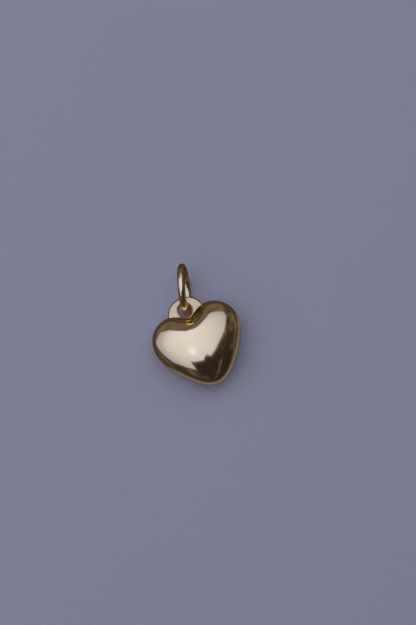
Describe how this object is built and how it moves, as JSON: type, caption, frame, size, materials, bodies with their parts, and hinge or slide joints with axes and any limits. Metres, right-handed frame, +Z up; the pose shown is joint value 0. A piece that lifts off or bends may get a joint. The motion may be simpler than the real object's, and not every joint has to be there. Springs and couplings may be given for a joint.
{
  "type": "puffy heart pendant",
  "caption": "Small hollow puffed heart pendant in polished yellow gold, with a flat lug behind the cleft and a round wire ring for a chain.",
  "frame": {"origin": "the crown of the back shell, where the pendant touches what it lies on", "axes": "+Z up through the front of the heart, +Y from the heart's tip towards the lug and the ring, +X to the right seen from the front"},
  "size_m": [0.01, 0.0137, 0.0057],
  "materials": {
    "polished_gold_shell": "mirror polished yellow gold sheet",
    "polished_gold_plate": "polished yellow gold plate",
    "polished_gold_wire": "polished yellow gold wire"
  },
  "bodies": {
    "heart": {"heart_front_shell": "polished_gold_shell", "heart_back_shell": "polished_gold_shell", "lug_plate": "polished_gold_plate"},
    "ring": {"jump_ring": "polished_gold_wire"}
  },
  "joints": [
    {"name": "ring_swing", "type": "hinge", "parent": "heart", "child": "ring", "pos_m": [0.00006, 0.00335, 0.0021], "axis": [0.9336, -0.3343, 0.1288], "range_deg": [-50, 17]}
  ]
}
